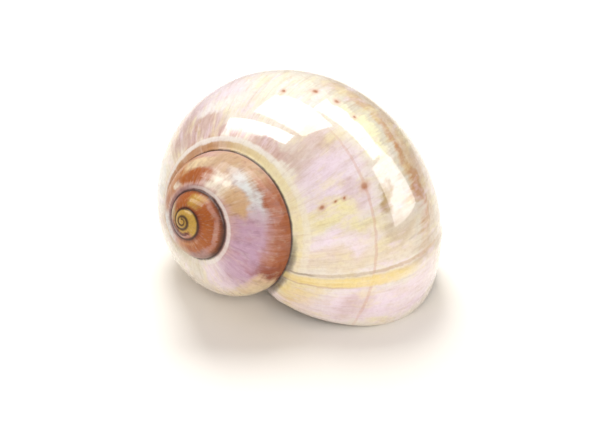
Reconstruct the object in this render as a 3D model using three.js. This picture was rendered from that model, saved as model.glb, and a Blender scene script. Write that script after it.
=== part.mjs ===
// Moon snail shell resting on the rim of its aperture. Millimetres, +Z up.
import * as THREE from 'three';

// Coiling. One turn of growth is one unit, and the lip is at turn 0.
const turns = 4.5;
const lipRadius = 21.4;
const growthPerTurn = 0.828;
const growthSpeedUp = 0.0207;
const centreOffset = 0.877;
const centreDrop = 1.879;
const centreRise = 0.264;

// Section of the whorl: second and third harmonics of its outline.
const ovalCosine = -0.0924;
const ovalSine = -0.0855;
const shoulderCosine = 0.0387;
const shoulderSine = 0.0345;
const umbilicalAngle = -2.62;
const sutureFrom = 0.6;
const sutureTo = 2.9;

// The lip sweeps back towards the base, then runs level to the umbilicus.
const lipSweep = [-0.3295, 0.6461, -0.855, 0.4579];
const sweepTurns = 0.5;
const sweepLevelFrom = 1.0;
const sweepLevelAt = 1.1;

// Callus on the whorl before, either side of the lip's own meridian.
const callusHeight = 0.1;
const callusTurns = 0.2;

// Wall, in section radii, and how far the hollow reaches behind the lip.
const wallThickness = 0.085;
const lipEdgeShare = 0.55;
const lipTaperTurns = 0.07;
const wallFootAngle = 0.2;
const hollowTurns = 0.9;
const columellaSwell = 0.05;
const callusSwell = 0.13;
const apexDome = 0.3;

// Standing pose: turns about +Z, then +Y, then +Z again, in degrees.
const spinAboutAxis = 37.4;
const axisLean = 74.33;
const heading = -126.28;

// Mesh density.
const rowsPerTurn = 36;
const spireColumns = 8;
const footColumns = 2;
const baseColumns = 14;
const columellaColumns = 5;
const callusRings = 4;
const capRings = 2;
const bisectionSteps = 40;
const normalStep = 1e-3;

const lastRow = Math.round(turns * rowsPerTurn);
const turnRow = lastRow - rowsPerTurn;
const hollowRows = Math.round(hollowTurns * rowsPerTurn);
const lastColumn = spireColumns + baseColumns;
const footColumn = spireColumns + footColumns;
const innerColumn = lastColumn + columellaColumns;

const mix = (a, b, t) => a + (b - a) * t;
const turnOf = (row) => (row - lastRow) / rowsPerTurn;

function smoothStep(t) {
  const s = Math.min(Math.max(t, 0), 1);
  return s * s * (3 - 2 * s);
}

function whorlRadius(turn) {
  return lipRadius * Math.exp(growthPerTurn * turn + growthSpeedUp * turn * turn);
}

function outlineFactor(angle) {
  const oval = ovalCosine * Math.cos(2 * angle) + ovalSine * Math.sin(2 * angle);
  const shoulder = shoulderCosine * Math.cos(3 * angle) + shoulderSine * Math.sin(3 * angle);
  return 1 + oval + shoulder;
}

function whorlCentre(turn) {
  const radius = whorlRadius(turn);
  return { r: radius * centreOffset, z: -radius * (centreDrop + centreRise * turn) };
}

// A point of the whorl outline in the half plane through the coiling axis.
function outlinePoint(turn, angle) {
  const centre = whorlCentre(turn);
  const reach = whorlRadius(turn) * outlineFactor(angle);
  return { r: centre.r + reach * Math.cos(angle), z: centre.z + reach * Math.sin(angle) };
}

// Where the whorl meets the whorl before it: its angle on both outlines.
function suture(turn) {
  const inner = whorlCentre(turn - 1);
  const innerRadius = whorlRadius(turn - 1);
  let low = sutureFrom;
  let high = sutureTo;
  let onInner = 0;
  for (let step = 0; step < bisectionSteps; step += 1) {
    const middle = (low + high) / 2;
    const point = outlinePoint(turn, middle);
    onInner = Math.atan2(point.z - inner.z, point.r - inner.r);
    const distance = Math.hypot(point.r - inner.r, point.z - inner.z);
    if (distance > innerRadius * outlineFactor(onInner)) low = middle;
    else high = middle;
  }
  return { onOuter: low, onInner };
}

// Sutures are asked for many times over, so each turn is solved once.
const sutureStore = new Map();
function sutureAt(row) {
  if (!sutureStore.has(row)) sutureStore.set(row, suture(turnOf(row)));
  return sutureStore.get(row);
}

// Angle on the outline of a column: the spire strip, the wall's foot, then the base.
function columnAngle(row, column) {
  const top = sutureAt(row).onOuter;
  const cover = sutureAt(row + rowsPerTurn).onInner;
  if (column <= spireColumns) return mix(top, cover, column / spireColumns);
  const foot = cover - wallFootAngle;
  if (column <= footColumn) return mix(cover, foot, (column - spireColumns) / footColumns);
  return mix(foot, umbilicalAngle, (column - footColumn) / (lastColumn - footColumn));
}

// Follows q to where the lip levels off, then bends smoothly to a constant.
function levelOff(q) {
  const room = sweepLevelAt - sweepLevelFrom;
  if (q < sweepLevelFrom) return q;
  return sweepLevelAt - room * Math.exp(-(q - sweepLevelFrom) / room);
}

// The lip's sweep shifts growth along the outline over the last half turn.
function sweptTurn(row, angle) {
  const turn = turnOf(row);
  const q = levelOff((sutureAt(row).onOuter - angle) / Math.PI);
  const [a, b, c, d] = lipSweep;
  const sweep = q * (a + q * (b + q * (c + q * d)));
  return turn + sweep * smoothStep((turn + sweepTurns) / sweepTurns);
}

function toSpace(r, z, turn) {
  const azimuth = -2 * Math.PI * turn;
  return new THREE.Vector3(r * Math.cos(azimuth), r * Math.sin(azimuth), z);
}

function wallAt(row, turn) {
  const taper = mix(lipEdgeShare, 1, smoothStep(-turnOf(row) / lipTaperTurns));
  return wallThickness * whorlRadius(turn) * taper;
}

// Unit normal of the outline, pointing out of the tube.
function outlineNormal(turn, angle) {
  const before = outlinePoint(turn, angle - normalStep);
  const after = outlinePoint(turn, angle + normalStep);
  const length = Math.hypot(after.r - before.r, after.z - before.z);
  return { r: (after.z - before.z) / length, z: -(after.r - before.r) / length };
}

function outerPoint(row, column) {
  const angle = columnAngle(row, column);
  const turn = sweptTurn(row, angle);
  const { r, z } = outlinePoint(turn, angle);
  const normal = outlineNormal(turn, angle);
  const lift = callusLift(row, column);
  return { r: r + lift * normal.r, z: z + lift * normal.z, turn };
}

// Height of the callus, which fades out along the coil and up to the suture.
function callusLift(row, column) {
  const along = 1 - smoothStep(Math.abs(turnOf(row) + 1) / callusTurns);
  const across = smoothStep((column - spireColumns) / (footColumns * 2));
  return callusHeight * whorlRadius(turnOf(row)) * along * across;
}

// The outline moved in by the wall's thickness.
function offsetPoint(row, column) {
  const angle = columnAngle(row, column);
  const turn = sweptTurn(row, angle);
  const { r, z } = outlinePoint(turn, angle);
  const normal = outlineNormal(turn, angle);
  const wall = wallAt(row, turn);
  return { r: r - wall * normal.r, z: z - wall * normal.z, turn };
}

// Inside of the wall, whose foot spreads onto the whorl before.
function innerWallPoint(row, column) {
  const point = offsetPoint(row, column);
  const fade = Math.max(1 - column / footColumn, 0) ** 2;
  const start = offsetPoint(row, 0);
  const foot = outerPoint(row - rowsPerTurn, footColumn);
  point.r += (foot.r - start.r) * fade;
  point.z += (foot.z - start.z) * fade;
  return point;
}

// The columella runs from the wall's inner edge up to the whorl before.
function columellaPoint(row, column) {
  const from = innerWallPoint(row, lastColumn);
  const to = outerPoint(row - rowsPerTurn, lastColumn);
  const t = (column - lastColumn) / columellaColumns;
  const swell = columellaSwell * whorlRadius(turnOf(row)) * Math.sin(Math.PI * t);
  const turn = mix(from.turn, turnOf(row), t);
  return { r: mix(from.r, to.r, t) + swell, z: mix(from.z, to.z, t), turn };
}

const points = [];
const triangles = [];

function addPoint(vector) {
  points.push(vector);
  return points.length - 1;
}

function addQuad(a, b, c, d) {
  const first = points[a].distanceTo(points[c]);
  const second = points[b].distanceTo(points[d]);
  if (first <= second) triangles.push(a, b, c, a, c, d);
  else triangles.push(a, b, d, b, c, d);
}

// Rings of vertices between a closed loop and its middle, swelled outwards.
function addPatch(loop, rings, swell) {
  const corners = loop.map((index) => points[index]);
  const middle = new THREE.Vector3();
  corners.forEach((corner) => middle.addScaledVector(corner, 1 / corners.length));
  const normals = loopNormals(corners, middle);
  const meanNormal = new THREE.Vector3();
  normals.forEach((normal) => meanNormal.add(normal));
  meanNormal.normalize();
  let last = loop;
  for (let ring = 1; ring < rings; ring += 1) {
    const t = ring / rings;
    const lift = swell * Math.sin(Math.PI * t / 2);
    const next = corners.map((corner, k) => {
      const normal = normals[k].clone().lerp(meanNormal, t).normalize();
      return addPoint(corner.clone().lerp(middle, t).addScaledVector(normal, lift));
    });
    joinLoops(last, next);
    last = next;
  }
  const tip = addPoint(middle.clone().addScaledVector(meanNormal, swell));
  last.forEach((index, k) => triangles.push(index, last[(k + 1) % last.length], tip));
}

function joinLoops(from, to) {
  for (let k = 0; k < from.length; k += 1) {
    const next = (k + 1) % from.length;
    addQuad(from[k], from[next], to[next], to[k]);
  }
}

function loopNormals(corners, middle) {
  const count = corners.length;
  return corners.map((corner, k) => {
    const before = corners[(k + count - 1) % count].clone().sub(middle);
    const after = corners[(k + 1) % count].clone().sub(middle);
    return before.cross(after).normalize();
  });
}

// Outside of the shell. A row's cover line is the suture of the row one turn on.
const outer = Array.from({ length: lastRow + 1 }, () => []);
for (let row = lastRow; row >= 0; row -= 1) {
  const exposed = row >= turnRow - hollowRows;
  const columns = exposed ? lastColumn : spireColumns;
  for (let column = 0; column <= columns; column += 1) {
    if (column === spireColumns && row <= turnRow) {
      outer[row][column] = outer[row + rowsPerTurn][0];
    } else {
      const { r, z, turn } = outerPoint(row, column);
      outer[row][column] = addPoint(toSpace(r, z, turn));
    }
  }
}

// Inside of the hollow, welded to the whorl before at its foot and its columella.
const inner = Array.from({ length: lastRow + 1 }, () => []);
for (let row = lastRow - hollowRows; row <= lastRow; row += 1) {
  inner[row][0] = outer[row - rowsPerTurn][footColumn];
  for (let column = 1; column < innerColumn; column += 1) {
    const onWall = column <= lastColumn;
    const { r, z, turn } = onWall ? innerWallPoint(row, column) : columellaPoint(row, column);
    inner[row][column] = addPoint(toSpace(r, z, turn));
  }
  inner[row][innerColumn] = outer[row - rowsPerTurn][lastColumn];
}

// Rounded lip between the two, flat where it runs onto the whorl before.
const rim = Array.from({ length: footColumns + 1 }, () => []);
for (let step = 0; step <= footColumns; step += 1) {
  for (let column = 0; column <= lastColumn; column += 1) {
    if (step === 0) rim[step][column] = outer[lastRow][column];
    else if (step === footColumns) rim[step][column] = inner[lastRow][column];
    else if (column === 0) rim[step][column] = outer[turnRow][spireColumns + step];
    else rim[step][column] = addPoint(rimPoint(step, column));
  }
}

function rimPoint(step, column) {
  const outside = points[outer[lastRow][column]];
  const inside = points[inner[lastRow][column]];
  const behind = points[outer[lastRow - 1][column]];
  const forward = outside.clone().sub(behind).normalize();
  const bend = Math.PI * step / footColumns;
  const roundness = smoothStep(column / footColumn);
  const half = outside.distanceTo(inside) / 2;
  const across = (1 - Math.cos(bend)) / 2;
  return outside.clone().lerp(inside, across).addScaledVector(forward, Math.sin(bend) * half * roundness);
}

// Skin between the rows. The wall's foot covers the first base columns in the hollow.
for (let row = 0; row < lastRow; row += 1) {
  for (let column = 0; column < lastColumn; column += 1) {
    const onSpire = column < spireColumns;
    const onBase = row >= turnRow;
    const inHollow = row >= turnRow - hollowRows && column >= footColumn;
    if (onSpire || onBase || inHollow) {
      const [here, next] = [outer[row], outer[row + 1]];
      addQuad(here[column], next[column], next[column + 1], here[column + 1]);
    }
  }
}
for (let row = lastRow - hollowRows; row < lastRow; row += 1) {
  for (let column = 0; column < innerColumn; column += 1) {
    const [here, next] = [inner[row], inner[row + 1]];
    addQuad(here[column], here[column + 1], next[column + 1], next[column]);
  }
}
for (let step = 0; step < footColumns; step += 1) {
  for (let column = 0; column < lastColumn; column += 1) {
    const [here, next] = [rim[step], rim[step + 1]];
    addQuad(here[column], next[column], next[column + 1], here[column + 1]);
  }
}

// Umbilical callus: a pad that fills the loop round the foot of the columella.
const callusLoop = [];
for (let row = turnRow; row <= lastRow; row += 1) callusLoop.push(outer[row][lastColumn]);
for (let step = 1; step < footColumns; step += 1) callusLoop.push(rim[step][lastColumn]);
for (let column = lastColumn; column < innerColumn; column += 1) callusLoop.push(inner[lastRow][column]);
addPatch(callusLoop, callusRings, callusSwell * lipRadius);

// Blind end of the hollow.
const endRow = lastRow - hollowRows;
const endLoop = [];
for (let column = footColumn; column <= lastColumn; column += 1) {
  endLoop.push(outer[endRow - rowsPerTurn][column]);
}
for (let column = innerColumn - 1; column > 0; column -= 1) endLoop.push(inner[endRow][column]);
addPatch(endLoop, capRings, 0);

// First whorl, closed by a low dome.
const apexLoop = [];
for (let column = 0; column < spireColumns; column += 1) apexLoop.push(outer[0][column]);
for (let row = rowsPerTurn; row > 0; row -= 1) apexLoop.push(outer[row][0]);
addPatch(apexLoop, capRings, apexDome * whorlRadius(-turns));

const geometry = new THREE.BufferGeometry().setFromPoints(points);
geometry.setIndex(triangles);
geometry.rotateZ(THREE.MathUtils.degToRad(spinAboutAxis));
geometry.rotateY(THREE.MathUtils.degToRad(axisLean));
geometry.rotateZ(THREE.MathUtils.degToRad(heading));
geometry.computeBoundingBox();
const { min, max } = geometry.boundingBox;
geometry.translate(-(min.x + max.x) / 2, -(min.y + max.y) / 2, -min.z);
geometry.computeVertexNormals();

const ivory = new THREE.MeshStandardMaterial({ color: 0xe6dccb, roughness: 0.32, metalness: 0 });
ivory.name = 'shell_ivory';

const shell = new THREE.Mesh(geometry, ivory);
shell.name = 'shell';

const part = new THREE.Group();
part.name = 'moon_snail_shell';
part.add(shell);

export default part;
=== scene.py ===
import math
import bpy
import numpy as np
from mathutils import Matrix, Vector


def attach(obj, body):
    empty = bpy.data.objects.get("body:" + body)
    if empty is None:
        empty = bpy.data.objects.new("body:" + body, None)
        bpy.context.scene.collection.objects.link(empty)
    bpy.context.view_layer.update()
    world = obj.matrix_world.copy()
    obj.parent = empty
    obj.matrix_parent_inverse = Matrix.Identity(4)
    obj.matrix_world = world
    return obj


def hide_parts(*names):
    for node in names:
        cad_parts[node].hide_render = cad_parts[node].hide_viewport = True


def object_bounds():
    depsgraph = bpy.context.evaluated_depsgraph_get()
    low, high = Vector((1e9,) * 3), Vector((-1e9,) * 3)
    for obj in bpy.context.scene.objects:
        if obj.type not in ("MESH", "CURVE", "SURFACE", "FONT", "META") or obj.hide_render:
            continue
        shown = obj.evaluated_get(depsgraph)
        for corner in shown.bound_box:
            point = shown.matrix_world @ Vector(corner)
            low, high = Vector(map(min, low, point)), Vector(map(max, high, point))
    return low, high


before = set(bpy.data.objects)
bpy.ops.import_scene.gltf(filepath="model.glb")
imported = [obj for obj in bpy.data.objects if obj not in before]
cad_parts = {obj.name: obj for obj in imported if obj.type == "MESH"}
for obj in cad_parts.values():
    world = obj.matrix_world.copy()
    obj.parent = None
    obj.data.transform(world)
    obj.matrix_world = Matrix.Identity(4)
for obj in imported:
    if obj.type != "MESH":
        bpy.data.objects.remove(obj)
cadLow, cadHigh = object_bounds()
print("frame loaded, box", [round(v * 1000, 1) for v in (cadHigh - cadLow)], "mm")

# Growth is counted in turns, 0 at the lip and negative towards the apex.
# Lengths are metres and angles radians, unless a name says otherwise.
growth = {
    "turns": 4.5,
    "lipRadius": 0.0214,      # section radius at the lip
    "rate": 0.828,            # growth exponent a turn
    "speedUp": 0.0207,        # change of the exponent, a turn squared
    "centreOffset": 0.877,    # section centre from the axis, in section radii
    "centreDrop": 1.879,      # section centre below the apex at the lip, in section radii
    "centreRise": 0.264,      # change of that drop a turn
    "oval": (-0.0924, -0.0855),      # second harmonic of the outline, cosine and sine
    "shoulder": (0.0387, 0.0345),    # third harmonic
    "umbilicalAngle": -2.62,  # where the base ends, round the section
    "sutureBetween": (0.6, 2.9),     # angles that the search for the suture starts from
    "halvings": 40,
}
lip = {
    "sweep": (-0.3295, 0.6461, -0.855, 0.4579),      # turns, a quartic of the angle over pi
    "sweepTurns": 0.5,        # how far back the sweep reaches
    "levelFrom": 1.0,         # angle over pi where the sweep starts to level off, and where it is level
    "levelAt": 1.1,
    "edgeShare": 0.55,        # wall at the lip's edge over the full wall
    "taperTurns": 0.07,
}
wall = {
    "thickness": 0.085,       # this and the swells and the dome are shares of the section radius
    "footAngle": 0.2,
    "hollowTurns": 0.9,
    "columellaSwell": 0.05,
    "callusSwell": 0.13,
    "callusHeight": 0.1,
    "callusTurns": 0.2,
    "apexDome": 0.3,
}
standing = {"spin": 37.4, "lean": 74.33, "heading": -126.28}   # degrees
# Rows of the grid a turn, columns of each stretch of the section, and rings of each closing patch.
density = {"rows": 216, "spire": 32, "foot": 8, "base": 56, "columella": 20,
           "callusRings": 16, "blindRings": 8, "apexRings": 6}

# Raised and sunken details: share of the section radius, place and width.
relief = {
    "shoulderCord": (0.010, 8.0, 3.0),       # height, degrees below the suture, width
    "shoulderGroove": (-0.003, 15.0, 5.0),
    # Growth marks: turn, height, width in turns.
    "growthMarks": [
        (-0.064, 0.012, 0.0050), (-0.076, -0.007, 0.0050), (-0.20, 0.003, 0.006), (-0.31, 0.002, 0.010),
        (-0.46, 0.003, 0.012), (-0.62, 0.005, 0.008), (-0.83, 0.004, 0.010), (-1.12, 0.006, 0.010),
        (-1.39, 0.005, 0.012), (-1.66, 0.005, 0.010), (-2.05, 0.006, 0.012), (-2.4, 0.006, 0.014),
    ],
    # Pits: turn, degrees below the suture, radius.
    "pits": [
        (-0.185, 20.5, 0.0009), (-0.184, 30, 0.0005), (-0.183, 36, 0.0006), (-0.184, 52, 0.0013),
        (-0.368, 59, 0.0008), (-0.332, 72, 0.0010), (-0.300, 75, 0.0009), (-0.267, 75, 0.0006),
    ],
    "pitDepth": 0.00022,
    "plainPit": 0.0011,       # radius of an ordinary pit
    "pitReach": 1.7,          # distance from the shell's axis over the section radius, near the pits
    "fadeBelow": 6.0,         # degrees below the suture where the details are whole
}


def smoothStep(t):
    s = np.clip(t, 0, 1)
    return s * s * (3 - 2 * s)


def mixed(a, b, t):
    return a + (b - a) * t


def bump(x, centre, width):
    return np.exp(-((x - centre) / width) ** 2)


# Section radius: an exponential of the turn, a little faster near the lip.
def whorlRadius(turn):
    return growth["lipRadius"] * np.exp(growth["rate"] * turn + growth["speedUp"] * turn ** 2)


# Outline radius over section radius: one plus its second and third harmonics.
def outlineFactor(angle):
    ovalCos, ovalSin = growth["oval"]
    thirdCos, thirdSin = growth["shoulder"]
    return (1 + ovalCos * np.cos(2 * angle) + ovalSin * np.sin(2 * angle)
            + thirdCos * np.cos(3 * angle) + thirdSin * np.sin(3 * angle))


def whorlCentre(turn):
    radius = whorlRadius(turn)
    return radius * growth["centreOffset"], -radius * (growth["centreDrop"] + growth["centreRise"] * turn)


# Point of the whorl's outline in the half plane through the axis: centre plus radius at the angle.
def outlinePoint(turn, angle):
    centreR, centreZ = whorlCentre(turn)
    reach = whorlRadius(turn) * outlineFactor(angle)
    return centreR + reach * np.cos(angle), centreZ + reach * np.sin(angle)


# Unit normal of the outline: its tangent by a small difference, turned a quarter.
def outlineNormal(turn, angle, step=1e-3):
    r0, z0 = outlinePoint(turn, angle - step)
    r1, z1 = outlinePoint(turn, angle + step)
    length = np.hypot(r1 - r0, z1 - z0)
    return (z1 - z0) / length, -(r1 - r0) / length


# Angles, on a whorl and on the whorl before, where their outlines cross, by halving an interval.
def sutureAngles(turn):
    innerR, innerZ = whorlCentre(turn - 1)
    low, high = (np.full(turn.shape, angle) for angle in growth["sutureBetween"])
    onInner = low
    for step in range(growth["halvings"]):
        middle = (low + high) / 2
        r, z = outlinePoint(turn, middle)
        onInner = np.arctan2(z - innerZ, r - innerR)
        outside = np.hypot(r - innerR, z - innerZ) > whorlRadius(turn - 1) * outlineFactor(onInner)
        low = np.where(outside, middle, low)
        high = np.where(outside, high, middle)
    return low, onInner


lastRow = round(growth["turns"] * density["rows"])
turnRow = lastRow - density["rows"]
hollowRows = round(wall["hollowTurns"] * density["rows"])
endRow = lastRow - hollowRows
spireColumn = density["spire"]
footColumn = spireColumn + density["foot"]
lastColumn = spireColumn + density["base"]
innerColumn = lastColumn + density["columella"]

rowTurn = (np.arange(lastRow + 1) - lastRow) / density["rows"]
topAngle = sutureAngles(rowTurn)[0]
coverAngle = sutureAngles(rowTurn + 1)[1]


# Column angles of every row: suture to cover line, wall foot, then the base to the umbilicus.
def columnAngles():
    spireShare = np.linspace(0, 1, density["spire"] + 1)
    footShare = np.linspace(0, 1, density["foot"] + 1)[1:]
    baseShare = np.linspace(0, 1, density["base"] - density["foot"] + 1)[1:]
    top, cover = topAngle[:, None], coverAngle[:, None]
    foot = cover - wall["footAngle"]
    return np.concatenate([
        mixed(top, cover, spireShare), mixed(cover, foot, footShare),
        mixed(foot, growth["umbilicalAngle"], baseShare)], axis=1)


angles = columnAngles()
turns = np.repeat(rowTurn[:, None], lastColumn + 1, axis=1)
columns = np.repeat(np.arange(lastColumn + 1)[None], lastRow + 1, axis=0)


# Turn shifted by the lip's sweep, a quartic of the angle below the suture that levels off at the base.
def sweptTurns(rows):
    q = (topAngle[rows, None] - angles[rows]) / math.pi
    room = lip["levelAt"] - lip["levelFrom"]
    q = np.where(q < lip["levelFrom"], q, lip["levelAt"] - room * np.exp(-(q - lip["levelFrom"]) / room))
    a, b, c, d = lip["sweep"]
    sweep = q * (a + q * (b + q * (c + q * d)))
    return turns[rows] + sweep * smoothStep((turns[rows] + lip["sweepTurns"]) / lip["sweepTurns"])


# Height over the plain whorl: callus, the cord under the suture, growth marks and pits.
def surfaceHeight(rows):
    turn, radius = turns[rows], whorlRadius(turns[rows])
    belowSuture = np.degrees(topAngle[rows, None] - angles[rows])
    along = 1 - smoothStep(np.abs(turn + 1) / wall["callusTurns"])
    across = smoothStep((columns[rows] - spireColumn) / (density["foot"] * 2))
    height = wall["callusHeight"] * radius * along * across
    fromEdge = smoothStep(belowSuture / relief["fadeBelow"])
    for size, place, width in (relief["shoulderCord"], relief["shoulderGroove"]):
        height += size * radius * bump(belowSuture, place, width) * fromEdge
    for place, size, width in relief["growthMarks"]:
        height += size * radius * bump(turn, place, width) * fromEdge
    for place, below, size in relief["pits"]:
        ahead = (turn - place) * 2 * math.pi * radius * relief["pitReach"]
        aside = np.radians(belowSuture - below) * radius
        height -= relief["pitDepth"] * np.exp(-(ahead ** 2 + aside ** 2) / size ** 2)
    return height


# Cylindrical to Cartesian, the azimuth being minus one full circle a turn.
def toSpace(r, z, turn):
    azimuth = -2 * math.pi * turn
    return np.stack([r * np.cos(azimuth), r * np.sin(azimuth), z], axis=-1)


# Outside of the shell: the outline plus the surface height along its normal.
def outerSurface(rows):
    turn = sweptTurns(rows)
    r, z = outlinePoint(turn, angles[rows])
    normalR, normalZ = outlineNormal(turn, angles[rows])
    height = surfaceHeight(rows)
    return r + height * normalR, z + height * normalZ, turn


# Inside of the wall: the outline less the wall, with a foot that spreads onto the whorl before.
# The columella follows, straight up to the whorl before with a slight swell.
def innerSurface(rows):
    turn = sweptTurns(rows)
    r, z = outlinePoint(turn, angles[rows])
    normalR, normalZ = outlineNormal(turn, angles[rows])
    taper = mixed(lip["edgeShare"], 1, smoothStep(-turns[rows] / lip["taperTurns"]))
    thick = wall["thickness"] * whorlRadius(turn) * taper
    r, z = r - thick * normalR, z - thick * normalZ
    beforeR, beforeZ, _ = outerSurface(rows - density["rows"])
    fade = np.maximum(1 - np.arange(lastColumn + 1) / footColumn, 0) ** 2
    r = r + (beforeR[:, [footColumn]] - r[:, [0]]) * fade
    z = z + (beforeZ[:, [footColumn]] - z[:, [0]]) * fade
    share = np.linspace(0, 1, density["columella"] + 1)[1:]
    swell = wall["columellaSwell"] * whorlRadius(turns[rows, :1]) * np.sin(math.pi * share)
    pillarR = mixed(r[:, [-1]], beforeR[:, [-1]], share) + swell
    pillarZ = mixed(z[:, [-1]], beforeZ[:, [-1]], share)
    pillarTurn = mixed(turn[:, [-1]], turns[rows, :1], share)
    return toSpace(np.concatenate([r, pillarR], 1), np.concatenate([z, pillarZ], 1),
                   np.concatenate([turn, pillarTurn], 1))


# Collects vertices and quads with the values the paint reads at each corner.
class Skin:
    def __init__(self):
        self.points, self.faces, self.values, self.count = [], [], [], 0

    def add(self, points):
        flat = points.reshape(-1, 3)
        self.points.append(flat)
        ids = self.count + np.arange(len(flat)).reshape(points.shape[:-1])
        self.count += len(flat)
        return ids

    def allPoints(self):
        return np.concatenate(self.points)

    # Quads of a grid of vertex numbers, wherever keep is true.
    def quads(self, ids, values, keep=None, flip=False):
        def corners(a):
            order = [a[:-1, :-1], a[1:, :-1], a[1:, 1:], a[:-1, 1:]]
            return np.stack(order[::-1] if flip else order, axis=2)
        faces, paint = corners(ids), corners(values)
        keep = np.ones(faces.shape[:2], bool) if keep is None else keep
        self.faces.append(faces[keep])
        self.values.append(paint[keep])

    # Rings from a closed loop to its middle, lifted along normals by a quarter sine.
    def patch(self, loop, rings, swell, value):
        corners = self.allPoints()[loop]
        middle = corners.mean(axis=0)
        arms = corners - middle
        normals = np.cross(np.roll(arms, 1, axis=0), np.roll(arms, -1, axis=0))
        normals /= np.linalg.norm(normals, axis=1, keepdims=True)
        mean = normals.sum(axis=0) / np.linalg.norm(normals.sum(axis=0))
        t = (np.arange(1, rings) / rings)[:, None, None]
        lean = mixed(normals[None], mean, t)
        lean /= np.linalg.norm(lean, axis=2, keepdims=True)
        grid = mixed(corners[None], middle, t) + lean * swell * np.sin(math.pi * t / 2)
        ids = np.concatenate([loop[None], self.add(grid)])
        ids = np.concatenate([ids, ids[:, :1]], axis=1)
        values = np.broadcast_to(value, ids.shape + (len(valueNames),))
        self.quads(np.flip(ids, axis=1), values)
        tip = self.add((middle + mean * swell)[None])
        around = ids[-1]
        fan = np.stack([around[:-1], around[1:], np.full(len(around) - 1, tip[0]), around[:-1]], axis=1)
        self.faces.append(fan)
        self.values.append(np.broadcast_to(value, fan.shape + (len(valueNames),)))


# Paint values: turn, angle below the suture, millimetres to the two sutures, and the part of the shell.
valueNames = ("turn", "belowSuture", "seamGap", "coverGap", "shellPart")
partCodes = {"outside": 0.0, "inside": 1.0, "callus": 2.0}
partEdges = {"inside": (0.3, 0.8), "callus": (1.4, 1.6)}     # codes where each part's colour comes in
patchBelow = {"callus": 2.4, "blind": 1.5, "apex": 0.6}      # angle below the suture that a patch is given
farFromSuture = 50.0


def paintValues(rows, part):
    below = topAngle[rows, None] - angles[rows]
    above = angles[rows] - coverAngle[rows, None]
    radius = whorlRadius(turns[rows]) * 1000         # millimetres
    code = np.full(below.shape, partCodes[part])
    return np.stack([turns[rows], below, below * radius, above * radius, code], axis=-1)


def patchValues(turn, name, part):
    return (turn, patchBelow[name], farFromSuture, farFromSuture, partCodes[part])


def buildSkin():
    skin = Skin()
    everyRow = np.arange(lastRow + 1)
    outer = skin.add(toSpace(*outerSurface(everyRow)))
    outer[:turnRow + 1, spireColumn] = outer[density["rows"]:, 0]
    hollow = np.arange(endRow, lastRow + 1)
    inner = skin.add(innerSurface(hollow))
    inner[:, 0] = outer[hollow - density["rows"], footColumn]
    inner[:, -1] = outer[hollow - density["rows"], lastColumn]
    rowIndex, columnIndex = np.meshgrid(np.arange(lastRow), np.arange(lastColumn), indexing="ij")
    shown = (columnIndex < spireColumn) | (rowIndex >= turnRow)
    shown |= (rowIndex >= turnRow - hollowRows) & (columnIndex >= footColumn)
    skin.quads(outer, paintValues(everyRow, "outside"), shown)
    innerPaint = paintValues(hollow, "inside")
    pillarPaint = np.repeat(innerPaint[:, -1:], density["columella"], axis=1)
    skin.quads(inner, np.concatenate([innerPaint, pillarPaint], axis=1), flip=True)
    rim = buildRim(skin, outer, inner)
    around = np.concatenate([outer[turnRow:, lastColumn], rim[1:-1, -1], inner[-1, lastColumn:-1]])
    swell = wall["callusSwell"] * growth["lipRadius"]
    skin.patch(around, density["callusRings"], swell, patchValues(0.0, "callus", "callus"))
    blind = np.concatenate([outer[endRow - density["rows"], footColumn:lastColumn + 1], inner[0, 1:-1][::-1]])
    skin.patch(blind, density["blindRings"], 0.0, patchValues(-wall["hollowTurns"], "blind", "inside"))
    apex = np.concatenate([outer[0, :spireColumn], outer[1:density["rows"] + 1, 0][::-1]])
    dome = wall["apexDome"] * whorlRadius(-growth["turns"])
    skin.patch(apex, density["apexRings"], dome, patchValues(-growth["turns"], "apex", "outside"))
    return skin


# Lip: half a circle from the outside to the inside of the wall, flattened where it meets the whorl before.
def buildRim(skin, outer, inner):
    points = skin.allPoints()
    outside, inside = points[outer[-1]], points[inner[-1, :lastColumn + 1]]
    forward = outside - points[outer[-2]]
    forward /= np.linalg.norm(forward, axis=1, keepdims=True)
    bend = (math.pi * np.arange(density["foot"] + 1) / density["foot"])[:, None, None]
    roundness = smoothStep(np.arange(lastColumn + 1) / footColumn)[:, None]
    half = np.linalg.norm(outside - inside, axis=1, keepdims=True) / 2
    arc = mixed(outside, inside, (1 - np.cos(bend)) / 2) + np.sin(bend) * half * roundness * forward
    ids = skin.add(arc)
    ids[0], ids[-1] = outer[-1], inner[-1, :lastColumn + 1]
    ids[:, 0] = outer[turnRow, spireColumn:footColumn + 1]
    values = np.repeat(paintValues(np.array([lastRow]), "outside"), density["foot"] + 1, axis=0)
    values[..., valueNames.index("shellPart")] = np.linspace(0, 1, density["foot"] + 1)[:, None]
    skin.quads(ids, values)
    return ids


# Stands the shell on its lip and puts the middle of its box over the origin.
def standUp(points):
    turn = Matrix.Rotation(math.radians(standing["heading"]), 3, "Z")
    turn @= Matrix.Rotation(math.radians(standing["lean"]), 3, "Y")
    turn @= Matrix.Rotation(math.radians(standing["spin"]), 3, "Z")
    turned = points @ np.array(turn).T
    low, high = turned.min(axis=0), turned.max(axis=0)
    middle = (np.array(cadLow) + np.array(cadHigh)) / 2
    shift = middle - (low + high) / 2
    shift[2] = cadLow.z - low[2]
    return turned + shift, Vector(shift)


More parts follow.
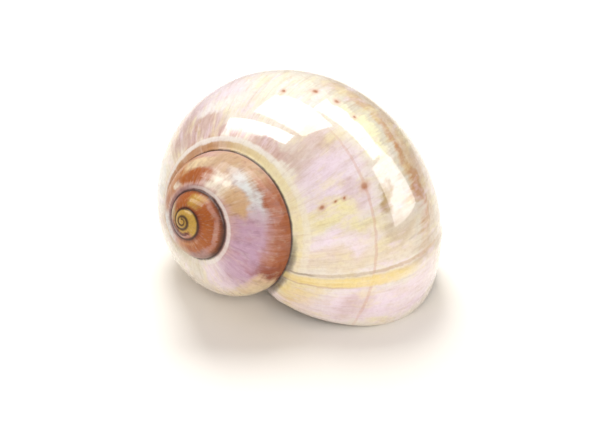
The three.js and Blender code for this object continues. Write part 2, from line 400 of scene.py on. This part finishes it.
def makeMesh(name, points, faces, values, valueNames):
    used, packed = np.unique(faces, return_inverse=True)
    packed = packed.reshape(faces.shape)
    three = faces[:, 3] == faces[:, 0]          # a fan's faces repeat their first corner
    totals = np.where(three, 3, 4).astype(np.int32)
    cornerKept = np.ones(faces.shape, bool)
    cornerKept[three, 3] = False
    mesh = bpy.data.meshes.new(name)
    mesh.vertices.add(len(used))
    mesh.vertices.foreach_set("co", points[used].astype(np.float32).ravel())
    mesh.loops.add(int(totals.sum()))
    mesh.loops.foreach_set("vertex_index", packed[cornerKept].astype(np.int32))
    mesh.polygons.add(len(faces))
    starts = np.concatenate([[0], np.cumsum(totals)[:-1]]).astype(np.int32)
    mesh.polygons.foreach_set("loop_start", starts)
    mesh.polygons.foreach_set("loop_total", totals)
    mesh.update(calc_edges=True)
    mesh.validate()
    for k, valueName in enumerate(valueNames):
        layer = mesh.attributes.new(valueName, "FLOAT", "CORNER")
        layer.data.foreach_set("value", values[..., k][cornerKept].astype(np.float32))
    mesh.polygons.foreach_set("use_smooth", np.ones(len(faces), bool))
    return mesh


skin = buildSkin()
shellPoints, apexPoint = standUp(skin.allPoints())
shellFaces, shellValues = np.concatenate(skin.faces), np.concatenate(skin.values)
shellMesh = makeMesh("shell", shellPoints, shellFaces, shellValues, valueNames)
moonSnail = bpy.data.objects.new("moonSnail", shellMesh)
bpy.context.collection.objects.link(moonSnail)
print("shell built,", len(shellMesh.polygons), "faces")


# Wraps a socket, so shader sums read as Python sums.
class Wire:
    def __init__(self, kit, socket):
        self.kit, self.socket = kit, socket

    def join(self, kind, other, swapped=False):
        pair = (other, self) if swapped else (self, other)
        return self.kit.node("ShaderNodeMath", {"operation": kind}, dict(enumerate(pair)))

    def __add__(self, other):
        return self.join("ADD", other)

    def __sub__(self, other):
        return self.join("SUBTRACT", other)

    def __mul__(self, other):
        return self.join("MULTIPLY", other)

    def __radd__(self, other):
        return self.join("ADD", other, True)

    def __rsub__(self, other):
        return self.join("SUBTRACT", other, True)

    def __rmul__(self, other):
        return self.join("MULTIPLY", other, True)


class PaintKit:
    def __init__(self, name):
        self.material = bpy.data.materials.new(name)
        self.material.use_nodes = True
        self.tree = self.material.node_tree
        self.tree.nodes.clear()

    # Any node: its settings first, then values or wires on its inputs; gives back one output.
    def node(self, kind, settings=None, inputs=None, output=0):
        made = self.tree.nodes.new(kind)
        for key, value in (settings or {}).items():
            setattr(made, key, value)
        for key, value in (inputs or {}).items():
            if isinstance(value, Wire):
                self.tree.links.new(value.socket, made.inputs[key])
            else:
                made.inputs[key].default_value = value
        return Wire(self, made.outputs[output]) if made.outputs else None

    def value(self, name):
        return self.node("ShaderNodeAttribute", {"attribute_name": name}, output="Fac")

    # Nought at low and one at high, or the other way round where low is the larger.
    def rise(self, wire, low, high):
        return self.node("ShaderNodeMapRange", {"interpolation_type": "SMOOTHSTEP"},
                         {"Value": wire, "From Min": low, "From Max": high})

    def noise(self, place, scale=1.0, detail=3.0, rough=0.55):
        return self.node("ShaderNodeTexNoise", {}, {
            "Vector": place, "Scale": scale, "Detail": detail, "Roughness": rough})

    def place(self, x, y, z=0.0):
        return self.node("ShaderNodeCombineXYZ", {}, {0: x, 1: y, 2: z})

    def blend(self, first, second, share, kind="MIX"):
        return self.node("ShaderNodeMix", {"data_type": "RGBA", "blend_type": kind},
                         {0: share, 6: first, 7: second}, output=2)

    # How far a place lies from a box's middle, as shares of its half widths.
    def share(self, place, spanX, spanY):
        widths = [high - low for low, high in (spanX, spanY)]
        middles = [(high + low) / 2 for low, high in (spanX, spanY)]
        scale = (2 / widths[0], 2 / widths[1], 0)
        shift = (-middles[0] * scale[0], -middles[1] * scale[1], 0)
        return self.node("ShaderNodeVectorMath", {"operation": "MULTIPLY_ADD"},
                         {0: place, 1: scale, 2: shift})

    def reach(self, share):
        return self.node("ShaderNodeVectorMath", {"operation": "LENGTH"}, {0: share}, output="Value")

    # Soft oval, one inside it.
    def oval(self, place, spanX, spanY, soft):
        return self.rise(self.reach(self.share(place, spanX, spanY)), 1 + soft, 1 - soft)

    # Soft rounded box: the two shares squared before their length is taken.
    def patch(self, place, spanX, spanY, soft):
        share = self.share(place, spanX, spanY)
        square = self.node("ShaderNodeVectorMath", {"operation": "MULTIPLY"}, {0: share, 1: share})
        return self.rise(self.reach(square), 1 + soft, 1 - soft)

    def finish(self, settings):
        shader = self.node("ShaderNodeBsdfPrincipled", {}, settings)
        self.node("ShaderNodeOutputMaterial", {}, {0: shader})
        return self.material


def paintColour(red, green, blue):
    def linear(v):
        v /= 255
        return v / 12.92 if v <= 0.04045 else ((v + 0.055) / 1.055) ** 2.4
    return (linear(red), linear(green), linear(blue), 1.0)


# The shell's colours, red green blue out of 255.
palette = {
    "ivory": (243, 233, 218), "cream": (250, 241, 220), "chalk": (252, 248, 242), "ice": (222, 223, 220),
    "ash": (218, 210, 190), "drab": (190, 160, 112), "sand": (232, 209, 166), "tan": (208, 168, 118),
    "lemon": (254, 250, 200), "butter": (252, 240, 178), "honey": (248, 222, 138), "mustard": (196, 156, 66),
    "lilac": (250, 230, 245), "lavender": (194, 157, 180), "mauve": (208, 170, 160), "heather": (134, 88, 88),
    "terracotta": (216, 160, 130), "caramel": (188, 120, 52), "amber": (170, 92, 30), "rust": (164, 86, 36),
    "brick": (134, 54, 24), "plum": (92, 30, 24), "bark": (60, 32, 24),
    "lineShade": (196, 160, 132), "lineGlint": (255, 253, 248), "grainShade": (186, 158, 146),
}

# Each stain: colour, stretch of turns, degrees below the suture, strength.
lastWhorlStains = {
    "backAsh": ("ash", (-1.00, -0.70), (-8, 42), 0.8),
    "backLilac": ("lilac", (-1.04, -0.93), (6, 55), 0.8),
    "sandPatch": ("sand", (-0.965, -0.905), (48, 88), 0.6),
    "sandTail": ("sand", (-1.04, -0.965), (60, 118), 0.8),
    "iceFlank": ("ice", (-0.71, -0.60), (14, 70), 0.9),
    "mauveStreak": ("mauve", (-0.735, -0.705), (10, 60), 0.7),
    "sandFlank": ("sand", (-0.61, -0.55), (8, 65), 0.6),
    # The stain below is mauve colour and, in part, painted shade on the upper-left shoulder.
    "mauveShoulderAndShade": ("mauve", (-0.575, -0.44), (14, 36), 0.95),
    "mauveFlank": ("mauve", (-0.57, -0.49), (30, 82), 0.95),
    "lilacTop": ("lilac", (-0.52, -0.42), (44, 86), 0.7),
    # The stain below is cream colour and, in part, a painted highlight where the panes' reflections fall.
    "creamTopAndHighlight": ("cream", (-0.44, -0.22), (28, 88), 0.7),
    # The stain below is a painted highlight: a small white patch on the top of the whorl.
    "chalkTopHighlight": ("chalk", (-0.490, -0.425), (33, 46), 0.8),
    # The stain below is painted shade: a mauve shadow in the groove under the cord.
    "mauveGrooveShade": ("mauve", (-0.50, -0.27), (10.5, 20), 1.0),
    "mauveBelt": ("mauve", (-0.31, -0.235), (12, 54), 0.65),
    "lilacBelt": ("lilac", (-0.255, -0.165), (12, 56), 0.9),
    "mauveByPits": ("mauve", (-0.205, -0.175), (36, 52), 0.4),
    "butterBelt": ("butter", (-0.180, -0.145), (10, 44), 0.9),
    "butterTail": ("butter", (-0.150, -0.120), (28, 60), 0.7),
    "lilacRidge": ("lilac", (-0.138, -0.100), (12, 50), 0.8),
    "sandBelt": ("sand", (-0.115, -0.080), (6, 84), 0.6),
    "lemonTop": ("lemon", (-0.295, -0.21), (66, 86), 0.9),
    "drabBlotch": ("drab", (-0.170, -0.142), (60, 71), 1.0),
    "drabSmudge": ("drab", (-0.135, -0.100), (58, 84), 0.45),
    "ashSpiral": ("ash", (-0.36, -0.09), (82, 90), 0.8),
    "tanSpiral": ("tan", (-0.34, -0.075), (88, 99), 0.9),
    "caramelCore": ("caramel", (-0.235, -0.095), (91, 98), 0.8),
    "drabBase": ("drab", (-0.42, -0.06), (98, 135), 0.7),
    "tanBase": ("tan", (-0.24, -0.085), (99, 108), 0.5),
    "lipDrab": ("drab", (-0.085, -0.03), (84, 115), 0.5),
    "lipGold": ("honey", (-0.058, -0.012), (6, 24), 0.9),
    "lipLilac": ("lilac", (-0.055, -0.006), (24, 110), 0.9),
    "lipMauve": ("mauve", (-0.050, -0.012), (40, 60), 0.5),
}
secondWhorlStains = {
    "backCaramel": ("caramel", (-2.02, -1.84), (-8, 44), 0.95),
    "backRust": ("rust", (-2.02, -1.91), (18, 40), 1.0),
    "backHeather": ("heather", (-2.02, -1.89), (40, 66), 0.8),
    "drabFlank": ("drab", (-1.90, -1.80), (30, 75), 0.6),
    # The grey-white stain below is colour and, in part, a painted reflection of the panes.
    "iceFlank": ("ice", (-1.80, -1.66), (6, 66), 1.0),
    "caramelFlank": ("caramel", (-1.665, -1.46), (14, 80), 1.0),
    "rustFlank": ("rust", (-1.64, -1.60), (16, 70), 0.6),
    "creamArch": ("cream", (-1.555, -1.515), (14, 30), 0.8),
    "sandMiddle": ("sand", (-1.50, -1.41), (38, 66), 0.9),
    "creamUpper": ("cream", (-1.39, -1.28), (10, 40), 0.95),
    "drabBelt": ("drab", (-1.42, -1.31), (39, 66), 0.7),
    # The grey-white stain below is colour and, in part, a painted reflection of the panes.
    "iceBreakAndReflection": ("ice", (-1.33, -1.19), (39, 66), 1.0),
    "drabLower": ("drab", (-1.42, -1.25), (62, 92), 0.7),
    "rustLower": ("rust", (-1.28, -1.17), (62, 100), 1.0),
    "lavenderBelt": ("lavender", (-1.205, -0.99), (8, 62), 1.0),
    "rustBelt": ("rust", (-1.205, -1.035), (63, 140), 0.95),
    "brickStreak": ("brick", (-1.085, -1.045), (50, 130), 0.8),
    "sandEdge": ("sand", (-1.04, -0.95), (58, 100), 0.9),
}
thirdWhorlStains = {
    "backMustard": ("mustard", (-3.04, -2.82), (-12, 20), 1.0),
    "backPlum": ("plum", (-3.02, -2.84), (19, 38), 1.0),
    "backMauve": ("mauve", (-3.02, -2.86), (38, 56), 0.5),
    "plumFlank": ("plum", (-2.86, -2.70), (10, 84), 0.95),
    "drabGlint": ("drab", (-2.68, -2.565), (10, 70), 0.9),
    "mustardSuture": ("mustard", (-2.76, -2.54), (-8, 10), 0.9),
    "amberMiddle": ("amber", (-2.54, -2.42), (6, 60), 0.7),
    "mustardGlint": ("mustard", (-2.415, -2.305), (10, 62), 0.8),
    "amberBelt": ("amber", (-2.30, -1.98), (12, 40), 0.6),
    "mauveMottle": ("mauve", (-2.30, -1.98), (46, 64), 0.45),
}
# Round spots of colour on the second whorl.
roundSpots = {
    "amberSpot": ("amber", (-1.525, -1.370), (12, 40), 1.0),
    "rustHeart": ("rust", (-1.490, -1.410), (20, 33), 0.6),
    "tanSpot": ("tan", (-1.305, -1.200), (10, 42), 0.9),
}
# Bands along the sutures run smoothly, without straying.
sutureBands = {
    "caramelBand": ("caramel", (-0.78, -0.36), (-9, 10.0), 0.8),
    "amberBand": ("amber", (-0.66, -0.42), (-9, 4.5), 0.3),
    "tanBand": ("tan", (-0.46, -0.28), (-6, 7), 0.4),
    "butterBand": ("butter", (-0.40, -0.05), (-8, 9), 0.65),
    # The two bands below are a painted highlight along the rounded cord under the suture.
    "chalkCordHighlight": ("chalk", (-0.70, -0.25), (6.5, 10.4), 0.8),
    "creamCordHighlight": ("cream", (-0.25, -0.05), (7, 11), 0.6),
    "cornerBark": ("bark", (-0.14, 0.02), (-3, 3.5), 0.8),
    "heatherSuture": ("heather", (-1.92, -1.36), (-9, 9), 0.7),
    # The band below is a painted highlight along the ridge next to the suture.
    "chalkRidgeHighlight": ("chalk", (-1.42, -0.93), (2.6, 7.2), 0.6),
    "brickSuture": ("brick", (-2.42, -1.90), (-9, 10), 0.7),
    # The band below is painted shade: dark brown on the third whorl's lower side, along the suture.
    "barkSutureShade": ("bark", (-2.50, -1.92), (66, 120), 0.9),
}
# Narrow marks keep a crisp edge.
fineLines = {
    "spiralThread": ("terracotta", (-0.27, 0.01), (51.2, 53.2), 0.38),
    # The three lines below are painted shade in the trough beside the raised growth ridge.
    "ridgeShade": ("drab", (-0.0762, -0.0718), (-2, 70), 0.55),
    "ridgeShadeDark": ("bark", (-0.0760, -0.0722), (-4, 16), 0.35),
    "ridgeShadeTail": ("tan", (-0.0755, -0.0715), (56, 118), 0.5),
    "ridgeHoney": ("honey", (-0.0705, -0.0560), (-2, 82), 0.95),
    "lipLine": ("caramel", (-0.0570, -0.0540), (0, 40), 0.4),
}
shellPaint = {
    "grounds": ("ivory", "mauve", "rust", "mustard"),    # last whorl, second, third, apex
    "groundEdge": (0.02, -0.04),           # turns round each whole turn where the ground changes
    "bodyEdge": (-1.05, -0.93),            # turns where the last whorl's finish begins
    # Noises on turns and degrees: waves a turn, waves a degree, detail, roughness.
    "striae": (150.0, 0.02, 4.0, 0.65),
    "bands": (34.0, 0.012, 3.0, 0.55),
    "stray": (14.0, 0.045, 4.0, 0.55),
    "sliceGap": 7.3,                       # distance between the noises' slices
    # Noises in space: waves a metre, detail, roughness.
    "fine": (700.0, 2.0, 0.55),
    "mottle": (190.0, 5.0, 0.6),
    "grain": (1500.0, 3.0, 0.7),
    "strayBy": (0.075, 22.0),              # how far stains stray, in turns and degrees
    "strayAlongLines": 0.6,                # share of the growth lines in it
    "fineStrayBy": (0.004, 2.0),
    # A stain is patchy by a mix of bands and growth lines: shares, noise from and to, least strength.
    "patchyMix": (0.6, 0.4),
    "patchy": (0.32, 0.56, 0.70),
    "soft": (0.92, 0.4, 0.8, 0.7),         # edges of stains, of round spots, of bands, of lines
    # Strokes of colour along the growth lines: colour, strokes a turn, strokes a degree, strength.
    "bodyStrokes": {
        "tanStroke": ("tan", 90, 0.06, 0.26), "lilacStroke": ("lilac", 70, 0.05, 0.55),
        "butterStroke": ("butter", 60, 0.05, 0.45), "chalkStroke": ("chalk", 110, 0.05, 0.20),
        "drabStroke": ("drab", 170, 0.04, 0.18),
    },
    "spireStrokes": {
        "rustStroke": ("rust", 50, 0.05, 0.25), "ashStroke": ("ash", 70, 0.05, 0.20),
        "heatherStroke": ("heather", 60, 0.05, 0.28),
    },
    "stroke": (3.0, 0.6, 0.50, 0.72),      # detail, roughness, noise from and to
    "pitHalo": ("terracotta", 0.0060, 3.4, 0.6),         # colour, half turns, half degrees, strength
    "pitHeart": ("amber", 0.0032, 1.7, 0.8),
    # The next three settings paint shade along the suture crease.
    "sutureShade": ("bark", 0.08, 0.48, 0.9),     # colour, millimetres solid, millimetres faded, strength
    "sutureShadeRagged": 0.3,                     # millimetres
    "sutureShadeEnds": ((0.0, -0.03), (-0.99, -1.02)),          # turns where each side of it begins
    # Overlays: colour, noise from and to, strength.
    "lineShade": ("lineShade", 0.50, 0.75, 0.26),
    "lineGlint": ("lineGlint", 0.48, 0.25, 0.26),
    "lilacMottle": ("lilac", 0.50, 0.68, 0.16),
    "creamMottle": ("cream", 0.50, 0.32, 0.16),
    "grainShade": ("grainShade", 0.40, 0.75, 0.16),
    "inside": ("cream", "caramel", "rust"),              # mouth's edge and callus, wall, deep wall
    "wallEdge": (0.0, -0.12),              # turns where the wall's colour comes in, and the deep one's
    "deepEdge": (-0.02, -0.30),
    "relief": (0.7, 0.12, 0.3),            # shares of growth lines, grain and bands
    "bump": (0.25, 0.0002),                # strength, metres
    "roughness": (0.18, 0.34, 0.45),       # least and most on the last whorl, spire
    "coat": (1.0, 0.22),                   # last whorl, spire
    "wornGlaze": ((-1.2, -0.08), (-6, 15), 0.85),        # turns, degrees, strength
    "gloss": {"Specular IOR Level": 0.15, "Coat Roughness": 0.055, "Coat IOR": 1.8},
}


def paintShell():
    kit = PaintKit("glazedShell")
    turn = kit.value("turn")
    below = kit.value("belowSuture") * math.degrees(1)
    position = kit.node("ShaderNodeTexCoord", output="Object")
    colour = paintColour(*palette[shellPaint["grounds"][0]])

    def lay(name, share, kind="MIX"):
        nonlocal colour
        colour = kit.blend(colour, paintColour(*palette[name]), share, kind)

    # Noise on turns and degrees, so its waves shrink with the whorls; each layer is its own slice.
    def whorlNoise(layer, turnWaves, degreeWaves, detail, rough):
        place = kit.place(turn * turnWaves, below * degreeWaves, layer * shellPaint["sliceGap"])
        return kit.noise(place, 1.0, detail, rough)

    middle = 0.5                           # a noise's own middle
    fine = kit.noise(position, *shellPaint["fine"])
    striae = whorlNoise(0, *shellPaint["striae"])
    bands = whorlNoise(1, *shellPaint["bands"])
    strayTurns, strayDegrees = shellPaint["strayBy"]
    alongLines = shellPaint["strayAlongLines"]
    ahead = whorlNoise(2, *shellPaint["stray"]) - middle
    aside = whorlNoise(3, *shellPaint["stray"]) + bands + striae * alongLines - middle * (2 + alongLines)
    loose = kit.place(turn + ahead * strayTurns, below + aside * strayDegrees)
    strayTurns, strayDegrees = shellPaint["fineStrayBy"]
    tight = kit.place(turn + (fine - middle) * strayTurns, below + (fine - middle) * strayDegrees)

    newer, older = shellPaint["groundEdge"]
    for whorl, name in enumerate(shellPaint["grounds"][1:], 1):
        lay(name, kit.rise(turn, newer - whorl, older - whorl))
    bandShare, lineShare = shellPaint["patchyMix"]
    patchyFrom, patchyTo, leastShare = shellPaint["patchy"]
    patchiness = kit.rise(bands * bandShare + striae * lineShare, patchyFrom, patchyTo)
    patchiness = patchiness * (1 - leastShare) + leastShare
    softStain, softSpot, softBand, softLine = shellPaint["soft"]
    for stains in (lastWhorlStains, secondWhorlStains, thirdWhorlStains):
        for name, turnSpan, belowSpan, strength in stains.values():
            lay(name, kit.patch(loose, turnSpan, belowSpan, softStain) * patchiness * strength)
    for name, turnSpan, belowSpan, strength in roundSpots.values():
        lay(name, kit.oval(loose, turnSpan, belowSpan, softSpot) * patchiness * strength)

    # Strokes along the growth lines, one set on the last whorl and one on the spire.
    body = kit.rise(turn, *shellPaint["bodyEdge"])
    detail, rough, strokeFrom, strokeTo = shellPaint["stroke"]
    layer = 4
    for strokes, where in ((shellPaint["bodyStrokes"], body), (shellPaint["spireStrokes"], 1 - body)):
        for name, turnWaves, degreeWaves, strength in strokes.values():
            stroke = kit.rise(whorlNoise(layer, turnWaves, degreeWaves, detail, rough), strokeFrom, strokeTo)
            lay(name, stroke * where * strength)
            layer += 1

    for name, turnSpan, belowSpan, strength in sutureBands.values():
        lay(name, kit.patch(tight, turnSpan, belowSpan, softBand) * patchiness * strength)
    for name, turnSpan, belowSpan, strength in fineLines.values():
        lay(name, kit.patch(tight, turnSpan, belowSpan, softLine) * patchiness * strength)
    for name, halfTurn, halfBelow, strength in (shellPaint["pitHalo"], shellPaint["pitHeart"]):
        for place, degreesBelow, size in relief["pits"]:
            grown = size / relief["plainPit"]
            turnSpan = (place - halfTurn * grown, place + halfTurn * grown)
            belowSpan = (degreesBelow - halfBelow * grown, degreesBelow + halfBelow * grown)
            lay(name, kit.oval(tight, turnSpan, belowSpan, softLine) * strength)

    # Painted shade: a dark line in the suture crease, on both sides of it.
    name, solid, faded, strength = shellPaint["sutureShade"]
    ragged = (fine - middle) * shellPaint["sutureShadeRagged"]
    for gap, ends in zip(("seamGap", "coverGap"), shellPaint["sutureShadeEnds"]):
        lay(name, kit.rise(kit.value(gap) + ragged, faded, solid) * kit.rise(turn, *ends) * strength)

    # Growth lines, watery mottling on the last whorl and a fine grain over all of it.
    mottle = kit.noise(position, *shellPaint["mottle"])
    grain = kit.noise(position, *shellPaint["grain"])
    for overlay, noise, where, kind in (
            ("lineShade", striae, 1.0, "MULTIPLY"), ("lineGlint", striae, 1.0, "SOFT_LIGHT"),
            ("lilacMottle", mottle, body, "MIX"), ("creamMottle", mottle, body, "MIX"),
            ("grainShade", grain, 1.0, "MULTIPLY")):
        name, noiseFrom, noiseTo, strength = shellPaint[overlay]
        lay(name, kit.rise(noise, noiseFrom, noiseTo) * where * strength, kind)

    # Inside the mouth: cream at the edge, brown glaze deeper in, and the callus pad.
    part = kit.value("shellPart")
    edgeColour, wallColour, deepColour = (paintColour(*palette[name]) for name in shellPaint["inside"])
    insideColour = kit.blend(edgeColour, wallColour, kit.rise(turn, *shellPaint["wallEdge"]))
    insideColour = kit.blend(insideColour, deepColour, kit.rise(turn, *shellPaint["deepEdge"]))
    colour = kit.blend(colour, insideColour, kit.rise(part, *partEdges["inside"]))
    colour = kit.blend(colour, edgeColour, kit.rise(part, *partEdges["callus"]))

    lineRelief, grainRelief, bandRelief = shellPaint["relief"]
    bumpStrength, bumpDistance = shellPaint["bump"]
    height = striae * lineRelief + grain * grainRelief + bands * bandRelief
    normal = kit.node("ShaderNodeBump", {}, {
        "Strength": bumpStrength, "Distance": bumpDistance, "Height": height}, "Normal")
    turnSpan, belowSpan, strength = shellPaint["wornGlaze"]
    glaze = 1 - kit.patch(tight, turnSpan, belowSpan, softBand) * strength
    smooth, rough, worn = shellPaint["roughness"]
    bodyCoat, spireCoat = shellPaint["coat"]
    return kit.finish({
        "Base Color": colour, "Normal": normal,
        "Roughness": fine * (rough - smooth) + smooth + (1 - body) * (worn - rough),
        "Coat Weight": (body * (bodyCoat - spireCoat) + spireCoat) * glaze,
        **shellPaint["gloss"]})


moonSnail.data.materials.append(paintShell())
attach(moonSnail, "root")
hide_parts("shell")
print("shell painted")

cameraView = {
    "fromApex": (0.02222, -0.16653, 0.10764),
    "lookDown": 32.35,       # degrees
    "roll": 3.06,
    "lens": 62.68,           # millimetres
    "filmWidth": 36,
    "clipStart": 0.01,
}


def placeCamera():
    camera = bpy.data.objects.new("camera", bpy.data.cameras.new("camera"))
    camera.data.lens = cameraView["lens"]
    camera.data.sensor_width = cameraView["filmWidth"]
    camera.data.clip_start = cameraView["clipStart"]
    aim = Matrix.Rotation(math.radians(90 - cameraView["lookDown"]), 4, "X")
    roll = Matrix.Rotation(math.radians(cameraView["roll"]), 4, "Z")
    camera.matrix_world = Matrix.Translation(apexPoint + Vector(cameraView["fromApex"])) @ aim @ roll
    bpy.context.collection.objects.link(camera)
    bpy.context.scene.camera = camera


# Lamps light the shell but don't show in its glaze; the glaze mirrors window panes instead.
studio = {
    "paper": (251, 247, 240),
    "paperRoughness": 0.9,
    "paperHalfWidth": 3.0,
    "skyColour": (1.0, 0.94, 0.89),
    "skyStrength": 0.50,
    # Places from the apex, width, depth, brightness, colour.
    "lamps": {
        "keyLamp": ((-0.05, 0.22, 0.40), (0.22, 0.22), 11.6, (0.96, 0.985, 1.0)),
        "fillLamp": ((0.16, -0.42, 0.30), (0.40, 0.40), 2.1, (0.96, 0.97, 1.0)),
    },
    "paneHeight": 0.33,
    # Overhead panes: x and y from the apex, width, depth, degrees turned, brightness.
    "panes": {
        "leftPane": (-0.235, -0.060, 0.380, 0.110, -41, 6.5),
        "middlePane": (-0.055, 0.015, 0.265, 0.160, -50, 4.5),
        "rightPane": (0.200, 0.035, 0.330, 0.150, -30, 4.5),
    },
    "sideWindow": {"place": (0.50, -0.13, 0.25), "size": (0.44, 0.39), "brightness": 3.0},
}


def makeFloor():
    mesh = bpy.data.meshes.new("floor")
    s = studio["paperHalfWidth"]
    mesh.from_pydata([(-s, -s, 0), (s, -s, 0), (s, s, 0), (-s, s, 0)], [], [(0, 1, 2, 3)])
    floor = bpy.data.objects.new("floor", mesh)
    paper = {"Base Color": paintColour(*studio["paper"]), "Roughness": studio["paperRoughness"]}
    mesh.materials.append(PaintKit("paper").finish(paper))
    bpy.context.collection.objects.link(floor)


# A lamp's power is its brightness times its area and pi.
def makeLamp(name, size, brightness, colour, facing):
    lamp = bpy.data.lights.new(name, "AREA")
    lamp.shape = "RECTANGLE"
    lamp.size, lamp.size_y = size
    lamp.energy = brightness * size[0] * size[1] * math.pi
    lamp.color = colour
    holder = bpy.data.objects.new(name, lamp)
    holder.matrix_world = facing
    bpy.context.collection.objects.link(holder)
    return holder


def makeLights():
    world = bpy.data.worlds.new("sky")
    world.use_nodes = True
    background = world.node_tree.nodes["Background"]
    background.inputs[0].default_value = (*studio["skyColour"], 1)
    background.inputs[1].default_value = studio["skyStrength"]
    bpy.context.scene.world = world
    for name, (spot, size, brightness, colour) in studio["lamps"].items():
        aim = (-Vector(spot)).to_track_quat("-Z", "Y").to_matrix().to_4x4()
        lamp = makeLamp(name, size, brightness, colour, Matrix.Translation(apexPoint + Vector(spot)) @ aim)
        lamp.visible_glossy = False
    white = (1.0, 1.0, 1.0)
    for name, (x, y, width, depth, turned, brightness) in studio["panes"].items():
        facing = Matrix.Translation(apexPoint + Vector((x, y, studio["paneHeight"])))
        facing @= Matrix.Rotation(math.radians(turned), 4, "Z")
        makeLamp(name, (width, depth), brightness, white, facing).visible_diffuse = False
    window = studio["sideWindow"]
    facing = Matrix.Translation(apexPoint + Vector(window["place"]))
    facing @= Matrix.Rotation(math.radians(90), 4, "Y")
    makeLamp("sideWindow", window["size"], window["brightness"], white, facing).visible_diffuse = False


placeCamera()
makeFloor()
makeLights()
bpy.context.scene.view_settings.view_transform = "Standard"
print("camera and lights placed")
